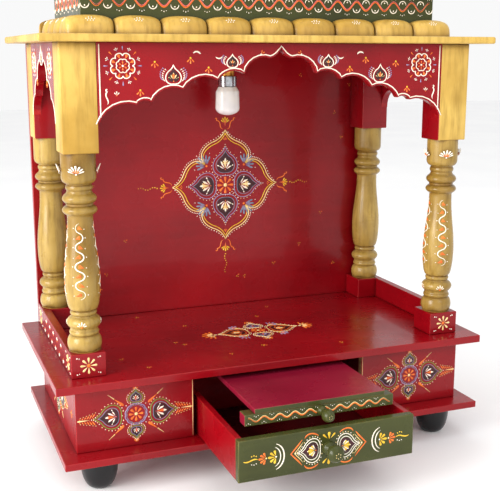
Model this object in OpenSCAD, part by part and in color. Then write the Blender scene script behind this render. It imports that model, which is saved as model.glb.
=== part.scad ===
// Painted wooden home temple: a pillared shrine on a base with a drawer and a pull-out tray.
// Front is -Y, up is +Z, millimetres. The origin is on the floor, under the middle of the
// overall box, with the drawer and the tray pulled out as far as *_open says.

/* [Shrine] */
// Width over the outer faces of the pillars
shrine_w = 484; // [440:1:600]
// Depth from the front face of the front pillars to the rear face of the rear pillars
shrine_d = 228; // [180:1:320]
// Side of the square stock that pillars and plinth blocks are cut from
stock = 38; // [32:1:46]
// Height of a plinth block and of the side rails
block_h = 27; // [20:1:40]
// Height of the turned length of a pillar
turned_h = 215; // [180:1:300]
// Height of the square top of a pillar
square_h = 113; // [100:1:150]
// Thickness of the side rails
rail_t = 10; // [6:1:16]
// Thickness of the arched valances
valance_t = 9; // [6:1:14]
// Thickness of the back panel
back_t = 9; // [6:1:14]

/* [Base] */
// Height of a foot
foot_h = 36; // [25:1:50]
// Largest diameter of a foot
foot_d = 42; // [34:1:50]
// Thickness of the lower board
lower_t = 8; // [6:1:14]
// Thickness of the upper board, the shrine's floor
upper_t = 9; // [6:1:14]
// Clear height between the two boards
bay_h = 75; // [70:1:110]
// Thickness of the base's walls
wall_t = 8; // [6:1:12]
// How far the upper board runs past the pillars at the sides
upper_side = 21; // [10:1:30]
// How far the upper board runs past the pillars at the front
upper_front = 23; // [10:1:30]
// How far the lower board runs past the base's walls at the sides
lower_side = 17; // [8:1:30]
// How far the lower board runs past the base's front wall
lower_front = 24; // [8:1:30]
// How far the base's front wall stands in front of the pillars
base_proud = 5; // [0:1:10]

/* [Drawer] */
// Width of the drawer
drawer_w = 203; // [150:1:260]
// Height of the drawer
drawer_h = 45.5; // [35:0.5:46]
// Length of the drawer, front to back
drawer_l = 195; // [160:1:200]
// How far the drawer is pulled out
drawer_open = 130; // [0:1:130]
// Thickness of the drawer's front
drawer_front_t = 9; // [6:1:14]
// Thickness of the drawer's sides and back
drawer_side_t = 7; // [5:1:10]
// Thickness of the drawer's bottom
drawer_bottom_t = 4; // [3:1:6]
// Clearance at each side of the drawer
drawer_gap = 5; // [3:0.5:8]

/* [Tray] */
// Width of the tray's board
tray_w = 152; // [110:1:180]
// Length of the tray's board, front to back
tray_l = 190; // [150:1:195]
// Thickness of the tray's board
tray_t = 5.5; // [4:0.5:6]
// Length of the strip under the tray's front edge
strip_w = 174; // [130:1:200]
// Height of that strip
strip_h = 12.5; // [8:0.5:13]
// Depth of that strip
strip_d = 15; // [10:1:20]
// How far the tray is pulled out
tray_open = 110; // [0:1:110]

/* [Roof] */
// Width of the cornice board
cornice_w = 530; // [500:1:660]
// Depth of the cornice board
cornice_d = 268; // [240:1:380]
// Thickness of the cornice board and of the boards above it
cornice_t = 8; // [6:1:12]
// Width of the frieze box
frieze_w = 424; // [380:1:480]
// Depth of the frieze box
frieze_d = 156; // [140:1:200]
// Height of the frieze box
frieze_h = 48; // [36:1:70]
// Lotus petals along the front of the frieze
petals_front = 9; // [7:2:11]
// Lotus petals along each end of the frieze
petals_side = 4; // [3:1:5]
// Height of the lower row of petals
petal_h = 20; // [16:1:26]
// How far the lower row of petals stands out at its foot
petal_d = 18; // [12:1:24]
// Largest diameter of the dome
dome_d = 124; // [90:1:130]

/* [Light] */
// Diameter of the bulb
bulb_d = 31; // [24:1:40]
// Height of the bulb below its cap
bulb_h = 36; // [28:1:50]
// Diameter of the lamp holder
holder_d = 24; // [20:1:28]

/* [Hidden] */
$fn = 64;

running = 0.3;          // running gap under a sliding piece

// Heights
lower_z = foot_h;
bay_z = lower_z + lower_t;
upper_z = bay_z + bay_h;
floor_z = upper_z + upper_t;
turned_z = floor_z + block_h;
square_z = turned_z + turned_h;
cornice_z = square_z + square_h;
frieze_z = cornice_z + cornice_t;
cap_z = frieze_z + frieze_h;
step_z = cap_z + cornice_t;

// Shrine
front_y = -shrine_d/2;
rear_y = shrine_d/2;
side_x = shrine_w/2;
post_x = side_x - stock/2;
post_y = rear_y - stock/2;
span_x = shrine_w - 2*stock;      // clear width between the front pillars
span_y = shrine_d - 2*stock;      // clear depth between the pillars of one side

// Base
base_x = side_x - 1.5;
base_front_y = front_y - base_proud;
base_rear_y = rear_y - 11;
foot_x = base_x - 26;
foot_front_y = base_front_y + 9;
foot_rear_y = base_rear_y - 15;
bay_x = drawer_w/2 + drawer_gap;  // half the opening in the base's front
guide_t = 6;

// Drawer and tray
drawer_y = base_front_y - drawer_open;
drawer_z = bay_z + running;
knob_r = 9.5;
knob_l = 23;
tray_y = base_front_y - tray_open;
strip_z = upper_z - 5.5 - tray_t - strip_h;
tray_z = strip_z + strip_h;
runner_t = 6;                     // thickness of the hangers and of the ledges
ledge_w = 7.5;
runner_x = tray_w/2 + 1;
ledge_z = tray_z - running - runner_t;
runner_front_y = base_front_y + strip_d + 6;
tray_knob_r = 7;
tray_knob_l = 24;

// Roof
step_w = 300;
step_d = 112;
step_h = 22;
cap_over = 13;
upper_petal_h = 16;
upper_petal_d = 13;
step_cap_z = step_z + step_h;
dome_z = step_cap_z + 7;
dome_neck_h = 12;
dome_h = 78;
finial_z = dome_z + dome_neck_h + dome_h - 6;

// The overall box runs from the drawer knob's tip to the cornice's rear edge
frame_y = -(drawer_y - knob_l + cornice_d/2)/2;

red = "firebrick";
yellow = "goldenrod";
green = "darkolivegreen";

// Points on an arc from a to b that rises by rise to the left of the way from a to b
function arc(a, b, rise, n) =
    let (chord = norm(b - a), mid = (a + b)/2, side = [a[1] - b[1], b[0] - a[0]]/chord,
         r = (chord*chord/4 + rise*rise)/(2*rise), centre = mid + side*(rise - r),
         start = atan2(a[1] - centre[1], a[0] - centre[0]),
         sweep = 2*asin(chord/(2*r)))
    [for (i = [0:n]) centre + r*[cos(start - sweep*i/n), sin(start - sweep*i/n)]];

// Half of a bead's outline between two heights, standing out from r_in to r_out
function bead(h0, h1, r_in, r_out, n = 7) =
    [for (i = [0:n]) [r_in + (r_out - r_in)*sin(180*i/n), h0 + (h1 - h0)*i/n]];

module at_frame() translate([0, frame_y, 0]) children();

module board(x0, x1, y0, y1, z0, z1) translate([x0, y0, z0]) cube([x1 - x0, y1 - y0, z1 - z0]);

// ---- base ----

foot_profile = concat(
    [[0, foot_h], [foot_d/2, foot_h], [foot_d/2, foot_h - 6]],
    [for (i = [1:7]) [foot_d*(0.22 + 0.28*cos(i*90/7)), (foot_h - 6)*(1 - sin(i*90/7))]],
    [[0, 0]]);

module feet() {
    color("black")
    for (x = [-foot_x, foot_x], y = [foot_front_y, foot_rear_y])
        translate([x, y, 0]) rotate_extrude() polygon(foot_profile);
}

module lower_board() {
    color(red) board(-base_x - lower_side, base_x + lower_side,
        base_front_y - lower_front, base_rear_y + 8, lower_z, bay_z);
}

module base_panel(side) {
    color(red) mirror([side < 0 ? 1 : 0, 0, 0])
        board(bay_x, base_x, base_front_y, base_front_y + wall_t, bay_z, upper_z);
}

module base_side(side) {
    color(red) mirror([side < 0 ? 1 : 0, 0, 0])
        board(base_x - wall_t, base_x, base_front_y + wall_t, base_rear_y - wall_t,
            bay_z, upper_z);
}

module base_back() {
    color(red) board(-base_x, base_x, base_rear_y - wall_t, base_rear_y, bay_z, upper_z);
}

module drawer_guides() {
    color("maroon") for (side = [0, 1]) mirror([side, 0, 0])
        board(bay_x, bay_x + guide_t, base_front_y + wall_t, base_rear_y - wall_t,
            bay_z, upper_z);
}

// Battens under the upper board that hold the ledges on which the tray slides
module tray_hangers() {
    color("maroon") for (side = [0, 1]) mirror([side, 0, 0])
        board(runner_x, runner_x + runner_t, runner_front_y, base_rear_y - wall_t,
            ledge_z, upper_z);
}

module tray_ledges() {
    color("maroon") for (side = [0, 1]) mirror([side, 0, 0])
        board(runner_x - ledge_w, runner_x, runner_front_y, base_rear_y - wall_t,
            ledge_z, ledge_z + runner_t);
}

module upper_board() {
    color(red) board(-side_x - upper_side, side_x + upper_side,
        front_y - upper_front, rear_y + back_t, upper_z, floor_z);
}

// ---- shrine ----

module plinth_blocks() {
    color(red) for (x = [-post_x, post_x], y = [-post_y, post_y])
        board(x - stock/2, x + stock/2, y - stock/2, y + stock/2, floor_z, turned_z);
}

// The turned length, from the plinth block up, as radius and height.
// k scales radii with the stock, v scales heights with the turned length.
k = stock/38;
v = turned_h/215;
vase_low = 46;
vase_wide = 77;
vase_high = 145;
pillar_profile = concat(
    [[0, 0], [17.4, 0]],
    bead(0.5, 16, 16.6, 18.6),
    [[14.8, 17.5]],
    bead(18, 23, 14.9, 16),
    [[14.9, 24.5]],
    bead(26, 37.5, 15.2, 18.6),
    [[13.6, 38.5]],
    bead(39.5, 45, 13.2, 14.4),
    [for (i = [0:8]) [14 + 5*sin(i*90/8), vase_wide - (vase_wide - vase_low)*cos(i*90/8)]],
    [for (i = [1:9]) [13.7 + 5.3*(1 + cos(i*20))/2,
        vase_wide + (vase_high - vase_wide)*i/9]],
    [[13.7, 148]],
    bead(149.5, 159.5, 14.4, 18.6),
    bead(161.5, 172, 14.4, 18.2),
    [[13.2, 174]],
    bead(175.5, 181.5, 13.2, 14.4),
    [for (i = [0:6]) [14 + 4.6*sin(i*15), 190 - 7*cos(i*15)]],
    [[18.6, 215], [0, 215]]);

module pillar(side_x_sign, side_y_sign) {
    color(yellow) translate([side_x_sign*post_x, side_y_sign*post_y, 0]) {
        translate([0, 0, turned_z])
            rotate_extrude() polygon([for (p = pillar_profile) [p[0]*k, p[1]*v]]);
        translate([-stock/2, -stock/2, square_z]) cube([stock, stock, square_h]);
    }
}

module side_rail(side) {
    color(red) mirror([side < 0 ? 1 : 0, 0, 0])
        board(side_x - rail_t, side_x, -span_y/2, span_y/2, floor_z, turned_z);
}

module back_panel() {
    color(red) board(-side_x, side_x, rear_y, rear_y + back_t, floor_z, cornice_z);
}

// Cusps of a valance from its foot to the ogee, as shares of the half span and of the drop
// that the valance has at the pillars
valance_drop = 84;
front_cusps = [[0.80, 0.76], [0.72, 0.73], [0.55, 0.58], [0.36, 0.47], [0.21, 0.39]];
side_cusps = [[0.74, 0.72], [0.42, 0.5]];

// Half of a cusped arch under the cornice: x across and z down from the cornice, from the
// pillar to the tip. cusps gives each cusp as shares of the half span and of valance_drop.
function reversed(list) = [for (i = [len(list) - 1:-1:0]) list[i]];

function lobes(half, cusps) =
    let (stops = [for (c = concat([[1, 1]], cusps)) [c[0]*half, -c[1]*valance_drop]],
         last = stops[len(stops) - 1], bend = [last[0]*0.3, last[1]*0.5], tip = [0, -6])
    concat(
        [for (i = [0:len(stops) - 2]) each
            reversed(arc(stops[i + 1], stops[i], norm(stops[i + 1] - stops[i])*0.2, 6))],
        reversed(arc(bend, last, norm(bend - last)*0.22, 6)),
        arc(bend, tip, norm(bend - tip)*0.12, 4));

module valance_outline(half, cusps) {
    right = lobes(half, cusps);
    left = [for (p = reversed(right)) [-p[0], p[1]]];
    polygon(concat([[half, 0]], right, left, [[-half, 0]]));
}

module front_valance() {
    color(red) translate([0, front_y + valance_t, cornice_z]) rotate([90, 0, 0])
        linear_extrude(valance_t) valance_outline(span_x/2, front_cusps);
}

module side_valance(side) {
    color(red) mirror([side < 0 ? 1 : 0, 0, 0])
        translate([side_x - valance_t, 0, cornice_z]) rotate([90, 0, 90])
            linear_extrude(valance_t) valance_outline(span_y/2, side_cusps);
}

// ---- roof ----

module cornice_board() {
    color(yellow) board(-cornice_w/2, cornice_w/2, -cornice_d/2, cornice_d/2,
        cornice_z, frieze_z);
}

// Cross-section of a petal that leans on a wall at x = 0 and reaches out to x = d
function petal_section(d, h) = concat([[0, 0]], reversed(arc([0, h], [d, 0], d*0.22, 6)));

// A row of petals along X, centred, leaning back towards +Y onto the wall at y = 0
module petal_row(count, length, d, h) {
    pitch = length/count;
    rotate([90, 0, -90]) {
        for (i = [0:count - 1])
            translate([0, 0, -length/2 + i*pitch + 0.8]) linear_extrude(pitch - 1.6)
                polygon(petal_section(d, h));
        translate([0, 0, -length/2]) linear_extrude(length) polygon(petal_section(d*0.7, h*0.8));
    }
}

module petals_front_row() {
    color(yellow) translate([0, -frieze_d/2, frieze_z])
        petal_row(petals_front, frieze_w + 2*petal_d, petal_d, petal_h);
}

module petals_rear_row() {
    color(yellow) translate([0, frieze_d/2, frieze_z]) rotate([0, 0, 180])
        petal_row(petals_front, frieze_w + 2*petal_d, petal_d, petal_h);
}

module petals_end_rows() {
    color(yellow) for (turn = [90, -90]) rotate([0, 0, turn])
        translate([0, -frieze_w/2, frieze_z]) petal_row(petals_side, frieze_d, petal_d, petal_h);
}

module frieze_front() {
    color(green) board(-frieze_w/2, frieze_w/2, -frieze_d/2, -frieze_d/2 + wall_t,
        frieze_z, cap_z);
}

module frieze_rear() {
    color(green) board(-frieze_w/2, frieze_w/2, frieze_d/2 - wall_t, frieze_d/2,
        frieze_z, cap_z);
}

module frieze_ends() {
    color(green) for (side = [0, 1]) mirror([side, 0, 0])
        board(frieze_w/2 - wall_t, frieze_w/2, -frieze_d/2 + wall_t, frieze_d/2 - wall_t,
            frieze_z, cap_z);
}

module frieze_cap() {
    color(yellow) board(-frieze_w/2 - cap_over, frieze_w/2 + cap_over,
        -frieze_d/2 - cap_over, frieze_d/2 + cap_over, cap_z, step_z);
}

module upper_petals() {
    color(yellow) translate([0, 0, step_z]) {
        for (turn = [0, 180]) rotate([0, 0, turn]) translate([0, -step_d/2, 0])
            petal_row(7, step_w + 2*upper_petal_d, upper_petal_d, upper_petal_h);
        for (turn = [90, -90]) rotate([0, 0, turn]) translate([0, -step_w/2, 0])
            petal_row(3, step_d + 0.5, upper_petal_d, upper_petal_h);
    }
}

module step_block() {
    color(red) board(-step_w/2, step_w/2, -step_d/2, step_d/2, step_z, step_cap_z);
}

module step_cap() {
    color(yellow) board(-step_w/2 - 8, step_w/2 + 8, -step_d/2 - 8, step_d/2 + 8,
        step_cap_z, dome_z);
}

dome_r = dome_d/2;
dome_profile = concat(
    [[0, 0], [dome_r*0.86, 0]],
    bead(0.5, 7, dome_r*0.84, dome_r*0.92),
    [[dome_r*0.8, dome_neck_h - 3], [dome_r*0.84, dome_neck_h]],
    [for (i = [1:5]) [dome_r*(0.84 + 0.16*sin(i*18)), dome_neck_h + dome_h*0.3*i/5]],
    [for (i = [1:11]) [dome_r*cos(i*7.4), dome_neck_h + dome_h*(0.3 + 0.7*sin(i*90/11))]],
    [[0, dome_neck_h + dome_h]]);

module dome() {
    color(red) translate([0, 0, dome_z]) rotate_extrude() polygon(dome_profile);
}

finial_profile = concat(
    [[0, 0], [13, 0]],
    bead(6.5, 12, 14, 18),
    [[7, 13.5]],
    [for (i = [0:9]) [6 + 9*sin(i*20), 15 + 16*i/9]],
    bead(32, 36, 6, 9, 5),
    [[5, 37.5]],
    bead(38.5, 45, 4.5, 7, 5),
    [[3, 47], [2, 56], [0, 60]]);

module finial() {
    color(yellow) difference() {
        translate([0, 0, finial_z]) rotate_extrude() polygon(finial_profile);
        translate([0, 0, dome_z]) rotate_extrude() polygon(dome_profile);
    }
}

// ---- light ----

bulb_y = rear_y - 54;
holder_h = 53;
cap_ring_h = 13;
bulb_z = cornice_z - holder_h - bulb_h;

module bulb_holder() {
    color("goldenrod") translate([0, bulb_y, cornice_z - holder_h]) rotate_extrude() polygon([
        [0, 0], [9.5, 0], [9.5, 1], [holder_d/2, 1], [holder_d/2, cap_ring_h],
        [holder_d/2 - 3, cap_ring_h + 1], [holder_d/2 - 3, 36], [19, 38], [19, holder_h],
        [0, holder_h]]);
}

bulb_profile = concat(
    [for (i = [0:7]) [bulb_d/2*sin(i*90/7), 9*(1 - cos(i*90/7))]],
    [[bulb_d/2 - 0.6, bulb_h - 6], [bulb_d/2 - 4, bulb_h], [0, bulb_h]]);

module bulb() {
    color("white") translate([0, bulb_y, bulb_z]) rotate_extrude() polygon(bulb_profile);
}

// ---- drawer ----

module drawer_front() {
    color(green) board(-drawer_w/2, drawer_w/2, drawer_y, drawer_y + drawer_front_t,
        drawer_z, drawer_z + drawer_h);
}

module drawer_sides() {
    color(red) for (side = [0, 1]) mirror([side, 0, 0])
        board(drawer_w/2 - drawer_side_t, drawer_w/2, drawer_y + drawer_front_t,
            drawer_y + drawer_l, drawer_z, drawer_z + drawer_h);
}

module drawer_back() {
    color(red) board(-drawer_w/2 + drawer_side_t, drawer_w/2 - drawer_side_t,
        drawer_y + drawer_l - drawer_side_t, drawer_y + drawer_l,
        drawer_z, drawer_z + drawer_h);
}

module drawer_bottom() {
    color("maroon") board(-drawer_w/2 + drawer_side_t, drawer_w/2 - drawer_side_t,
        drawer_y + drawer_front_t, drawer_y + drawer_l - drawer_side_t,
        drawer_z, drawer_z + drawer_bottom_t);
}

// A turned knob whose axis runs along -Y from its seat, as radius and distance
function knob_profile(r, l) = concat(
    [[0, 0], [r*0.8, 0], [r*0.75, l*0.12], [r*0.48, l*0.24], [r*0.5, l*0.34]],
    [for (i = [1:9]) [r*(0.45 + 0.55*sin(i*18)), l*(0.36 + 0.6*i/9)]],
    [[0, l]]);

module knob(r, l) rotate([90, 0, 0]) rotate_extrude() polygon(knob_profile(r, l));

module drawer_knob() {
    color(green) translate([0, drawer_y, drawer_z + drawer_h/2]) knob(knob_r, knob_l);
}

// ---- tray ----

module tray_board() {
    color("mediumvioletred") board(-tray_w/2, tray_w/2, tray_y, tray_y + tray_l,
        tray_z, tray_z + tray_t);
}

module tray_strip() {
    color(green) board(-strip_w/2, strip_w/2, tray_y, tray_y + strip_d,
        strip_z, strip_z + strip_h);
}

module tray_knob() {
    color(green) translate([0, tray_y, strip_z + strip_h/2]) knob(tray_knob_r, tray_knob_l);
}

at_frame() feet();
at_frame() lower_board();
at_frame() base_panel(-1);  // base_panel_left
at_frame() base_panel(1);  // base_panel_right
at_frame() base_side(-1);  // base_side_left
at_frame() base_side(1);  // base_side_right
at_frame() base_back();
at_frame() drawer_guides();
at_frame() tray_hangers();
at_frame() tray_ledges();
at_frame() upper_board();
at_frame() plinth_blocks();
at_frame() pillar(-1, -1);  // pillar_front_left
at_frame() pillar(1, -1);  // pillar_front_right
at_frame() pillar(-1, 1);  // pillar_rear_left
at_frame() pillar(1, 1);  // pillar_rear_right
at_frame() side_rail(-1);  // side_rail_left
at_frame() side_rail(1);  // side_rail_right
at_frame() back_panel();
at_frame() front_valance();
at_frame() side_valance(-1);  // side_valance_left
at_frame() side_valance(1);  // side_valance_right
at_frame() cornice_board();
at_frame() petals_front_row();
at_frame() petals_rear_row();
at_frame() petals_end_rows();
at_frame() frieze_front();
at_frame() frieze_rear();
at_frame() frieze_ends();
at_frame() frieze_cap();
at_frame() upper_petals();
at_frame() step_block();
at_frame() step_cap();
at_frame() dome();
at_frame() finial();
at_frame() bulb_holder();
at_frame() bulb();
at_frame() drawer_front();
at_frame() drawer_sides();
at_frame() drawer_back();
at_frame() drawer_bottom();
at_frame() drawer_knob();
at_frame() tray_board();
at_frame() tray_strip();
at_frame() tray_knob();
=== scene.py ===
"""Looks of a painted wooden home temple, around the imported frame.

Painting is written in millimetres on the faces of the frame; meshes are in metres.
"""

import math
import random

import bmesh
import bpy
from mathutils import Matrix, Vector


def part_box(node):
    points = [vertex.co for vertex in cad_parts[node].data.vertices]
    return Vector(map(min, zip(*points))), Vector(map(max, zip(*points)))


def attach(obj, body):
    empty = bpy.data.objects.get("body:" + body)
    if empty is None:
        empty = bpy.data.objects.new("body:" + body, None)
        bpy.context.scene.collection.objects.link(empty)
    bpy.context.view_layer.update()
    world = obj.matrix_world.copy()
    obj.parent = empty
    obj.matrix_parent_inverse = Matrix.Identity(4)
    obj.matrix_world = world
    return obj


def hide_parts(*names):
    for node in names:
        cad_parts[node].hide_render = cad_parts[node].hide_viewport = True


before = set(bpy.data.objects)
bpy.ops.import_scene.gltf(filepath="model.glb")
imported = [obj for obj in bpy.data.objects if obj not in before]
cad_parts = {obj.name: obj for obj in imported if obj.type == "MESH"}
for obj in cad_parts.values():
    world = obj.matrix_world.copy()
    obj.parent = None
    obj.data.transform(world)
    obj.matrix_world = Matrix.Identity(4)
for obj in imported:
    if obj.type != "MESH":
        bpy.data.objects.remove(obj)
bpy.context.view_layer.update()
random.seed(12)

MM = 0.001
TAU = 2 * math.pi


# ---- camera, lights and floor ----


def make_camera():
    camera = bpy.data.objects.new("camera", bpy.data.cameras.new("camera"))
    bpy.context.scene.collection.objects.link(camera)
    camera.location = Vector((-403.4, -986.75, 471.87)) * MM
    heading, tilt, roll = 0.3711, -0.2065, -0.0014
    camera.rotation_mode = "XYZ"
    camera.rotation_euler = (math.pi / 2 + tilt, roll, -heading)
    camera.data.lens = 66.08
    camera.data.sensor_width = 36
    bpy.context.scene.camera = camera


def area_light(name, place, target, size, power, tint):
    data = bpy.data.lights.new(name, "AREA")
    data.shape = "RECTANGLE"
    data.size, data.size_y = size
    data.energy = power
    data.color = tint
    lamp = bpy.data.objects.new(name, data)
    bpy.context.scene.collection.objects.link(lamp)
    lamp.location = place
    lamp.rotation_euler = (Vector(target) - Vector(place)).to_track_quat("-Z", "Y").to_euler()


def make_studio():
    world = bpy.data.worlds.new("studio")
    world.use_nodes = True
    background = world.node_tree.nodes["Background"]
    background.inputs["Color"].default_value = (1.0, 1.0, 1.0, 1.0)
    background.inputs["Strength"].default_value = 0.95
    bpy.context.scene.world = world
    bpy.context.scene.view_settings.view_transform = "Standard"
    middle = (0.0, 0.05, 0.3)
    area_light("key", (-2.1, -0.65, 0.9), middle, (1.2, 1.4), 64, (1.0, 0.98, 0.95))
    area_light("front", (0.3, -2.4, 1.5), middle, (1.6, 1.2), 16, (1.0, 0.98, 0.96))
    area_light("top", (0.3, 0.0, 2.2), middle, (2.0, 1.6), 8, (0.98, 0.99, 1.0))


def make_floor():
    bm = bmesh.new()
    bmesh.ops.create_grid(bm, x_segments=8, y_segments=8, size=7)
    floor = add_object("floor", bm)
    floor.location.z = -0.0002
    floor.data.materials.append(FLOOR)


# ---- materials ----


def linear(red, green, blue):
    """A colour given as 0 to 255 screen values, as the linear values that Blender takes."""
    shares = (red / 255, green / 255, blue / 255)
    return tuple(s / 12.92 if s <= 0.04 else ((s + 0.055) / 1.055) ** 2.4 for s in shares) + (1,)


class Recipe:
    """A material under construction, with short calls for the nodes used here."""

    def __init__(self, name, roughness, coat=0.0, coat_roughness=0.1, metallic=0.0, gloss=0.3):
        self.material = bpy.data.materials.new(name)
        self.material.use_nodes = True
        self.tree = self.material.node_tree
        self.shader = self.tree.nodes["Principled BSDF"]
        self.shader.inputs["Roughness"].default_value = roughness
        self.shader.inputs["Metallic"].default_value = metallic
        self.shader.inputs["Specular IOR Level"].default_value = gloss
        self.shader.inputs["Coat Weight"].default_value = coat
        self.shader.inputs["Coat Roughness"].default_value = coat_roughness
        self.place = self.add("ShaderNodeTexCoord").outputs["Object"]

    def add(self, kind, **inputs):
        node = self.tree.nodes.new(kind)
        for name, value in inputs.items():
            self.feed(node.inputs[name.replace("_", " ")], value)
        return node

    def feed(self, socket, value):
        if isinstance(value, bpy.types.NodeSocket):
            self.tree.links.new(value, socket)
        else:
            socket.default_value = value

    def stretched(self, scale):
        return self.add("ShaderNodeMapping", Vector=self.place, Scale=scale).outputs[0]

    def noise(self, scale, detail=4.0, stretch=None):
        place = self.stretched(stretch) if stretch else self.place
        return self.add("ShaderNodeTexNoise", Vector=place, Scale=scale, Detail=detail).outputs["Fac"]

    def spread(self, value, low, high, to_low=0.0, to_high=1.0):
        node = self.add("ShaderNodeMapRange", Value=value)
        node.inputs["From Min"].default_value = low
        node.inputs["From Max"].default_value = high
        node.inputs["To Min"].default_value = to_low
        node.inputs["To Max"].default_value = to_high
        return node.outputs[0]

    def times(self, first, second):
        node = self.add("ShaderNodeMath")
        node.operation = "MULTIPLY"
        self.feed(node.inputs[0], first)
        self.feed(node.inputs[1], second)
        return node.outputs[0]

    def mixed(self, share, first, second, how="MIX"):
        node = self.add("ShaderNodeMix")
        node.data_type = "RGBA"
        node.blend_type = how
        self.feed(node.inputs[0], share)
        self.feed(node.inputs[6], first)
        self.feed(node.inputs[7], second)
        return node.outputs[2]

    def edges(self, reach):
        """1 along convex edges, 0 on flat faces."""
        bevel = self.add("ShaderNodeBevel", Radius=reach)
        bevel.samples = 4
        geometry = self.add("ShaderNodeNewGeometry")
        dot = self.add("ShaderNodeVectorMath")
        dot.operation = "DOT_PRODUCT"
        self.feed(dot.inputs[0], bevel.outputs[0])
        self.feed(dot.inputs[1], geometry.outputs["Normal"])
        return self.spread(dot.outputs["Value"], 0.995, 0.86)

    def grooves(self, reach, open_above=0.85, full_below=0.25):
        """1 deep in a groove, 0 in the open."""
        shade = self.add("ShaderNodeAmbientOcclusion", Distance=reach)
        shade.samples = 6
        return self.spread(shade.outputs["AO"], open_above, full_below)

    def bump(self, height, depth, strength=1.0):
        node = self.add("ShaderNodeBump", Height=height, Distance=depth, Strength=strength)
        if self.shader.inputs["Normal"].is_linked:
            self.feed(node.inputs["Normal"], self.shader.inputs["Normal"].links[0].from_socket)
        self.feed(self.shader.inputs["Normal"], node.outputs[0])

    def finish(self, colour, roughness=None):
        self.feed(self.shader.inputs["Base Color"], colour)
        if roughness is not None:
            self.feed(self.shader.inputs["Roughness"], roughness)
        return self.material


def lacquer(name, deep, bright, worn, coat=0.16, wear=0.6, corner_shade=0.5, roughness=(0.2, 0.36)):
    """Brushed gloss paint on wood: uneven colour, brush marks, rubbed edges, and painted shade that darkens it in
    corners and grooves.
    """
    paint = Recipe(name, 0.3, coat, 0.05, gloss=0.22)
    clouds = paint.spread(paint.noise(9, 5), 0.22, 0.78)
    colour = paint.mixed(clouds, deep, bright)
    streaks = paint.noise(34, 6, (0.35, 1.6, 4.0))
    colour = paint.mixed(paint.spread(streaks, 0.42, 0.78, 0.0, 0.35), colour, bright)
    specks = paint.spread(paint.noise(420, 2), 0.66, 0.74, 0.0, 0.45)
    colour = paint.mixed(specks, colour, deep)
    # Painted shade: wherever the ambient occlusion node finds a corner or groove, the paint turns towards a dark copy
    # of its own colour.
    painted_corner_shade = paint.times(paint.grooves(0.007), corner_shade)
    colour = paint.mixed(painted_corner_shade, colour, tuple(0.22 * c for c in deep[:3]) + (1,))
    rubbed = paint.times(paint.edges(0.0016), paint.spread(paint.noise(60, 5), 0.38, 0.62, 0.1, wear))
    colour = paint.mixed(rubbed, colour, worn)
    paint.bump(streaks, 0.00035, 0.35)
    paint.bump(paint.noise(240, 3), 0.00012, 0.4)
    return paint.finish(colour, paint.spread(paint.noise(22, 5), 0.3, 0.7, *roughness))


def aged_yellow(name, deep, bright, reach, full_below, roughness):
    """Ochre yellow with a darker brown wiped into its grooves and rubbed through along edges."""
    paint = Recipe(name, 0.4, 0.12, 0.1)
    colour = paint.mixed(paint.spread(paint.noise(14, 6), 0.3, 0.68), deep, bright)
    streaks = paint.noise(70, 5, (3.0, 3.0, 0.4))
    colour = paint.mixed(paint.spread(streaks, 0.46, 0.76, 0.0, 0.6), colour, tuple(0.7 * c for c in deep[:3]) + (1,))
    brown = paint.spread(paint.noise(52, 5), 0.35, 0.7, 0.6, 1.0)
    wiped = paint.times(paint.grooves(reach, 0.92, full_below), brown)
    colour = paint.mixed(wiped, colour, linear(78, 48, 16))
    rubbed = paint.times(paint.edges(0.0014), paint.spread(paint.noise(80, 4), 0.4, 0.6, 0.15, 0.7))
    colour = paint.mixed(rubbed, colour, linear(158, 110, 44))
    paint.bump(streaks, 0.0003, 0.4)
    paint.bump(paint.noise(300, 3), 0.00012, 0.4)
    return paint.finish(colour, paint.spread(paint.noise(30, 4), 0.3, 0.7, *roughness))


def bare_wood(name):
    """Cut faces of the boards that were left without paint."""
    wood = Recipe(name, 0.65)
    rings = wood.noise(26, 8, (0.25, 1.0, 6.0))
    pores = wood.spread(wood.noise(300, 3, (0.2, 1.0, 3.0)), 0.55, 0.75, 0.0, 0.5)
    colour = wood.mixed(wood.spread(rings, 0.35, 0.65), linear(206, 170, 122), linear(160, 116, 72))
    colour = wood.mixed(pores, colour, linear(110, 74, 42))
    wood.bump(rings, 0.0004, 0.5)
    return wood.finish(colour)


def relief_paint(name, colour, second):
    """Thick paint squeezed on in raised lines and dots."""
    paint = Recipe(name, 0.42, 0.2, 0.2)
    mixed = paint.mixed(paint.spread(paint.noise(150, 3), 0.38, 0.62), colour, second)
    paint.bump(paint.noise(900, 2), 0.0001, 0.5)
    return paint.finish(mixed, paint.spread(paint.noise(200, 2), 0.3, 0.7, 0.34, 0.52))


def metal(name, colour, dark, roughness):
    steel = Recipe(name, roughness, metallic=1.0)
    tint = steel.mixed(steel.spread(steel.noise(180, 4), 0.35, 0.7), colour, dark)
    # Darker, towards a near-black brown, deep in its grooves where the ambient occlusion node finds them.
    tint = steel.mixed(steel.times(steel.grooves(0.003), 0.8), tint, linear(40, 34, 28))
    steel.bump(steel.noise(500, 3, (1, 1, 0.2)), 0.00008, 0.4)
    return steel.finish(tint, steel.spread(steel.noise(90, 3), 0.3, 0.7, roughness, roughness + 0.16))


def milk_glass(name):
    glass = Recipe(name, 0.12, 0.5, 0.04)
    glass.shader.inputs["Subsurface Weight"].default_value = 0.35
    glass.shader.inputs["Subsurface Radius"].default_value = (0.004, 0.004, 0.004)
    tint = glass.mixed(glass.spread(glass.noise(60, 2), 0.3, 0.7), linear(250, 249, 246), linear(238, 238, 240))
    glass.bump(glass.noise(120, 2), 0.00005, 0.3)
    return glass.finish(tint)


def plain_floor(name):
    floor = Recipe(name, 0.6)
    tint = floor.mixed(floor.spread(floor.noise(3, 3), 0.3, 0.7), linear(250, 250, 250), linear(246, 246, 247))
    return floor.finish(tint)


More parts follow.
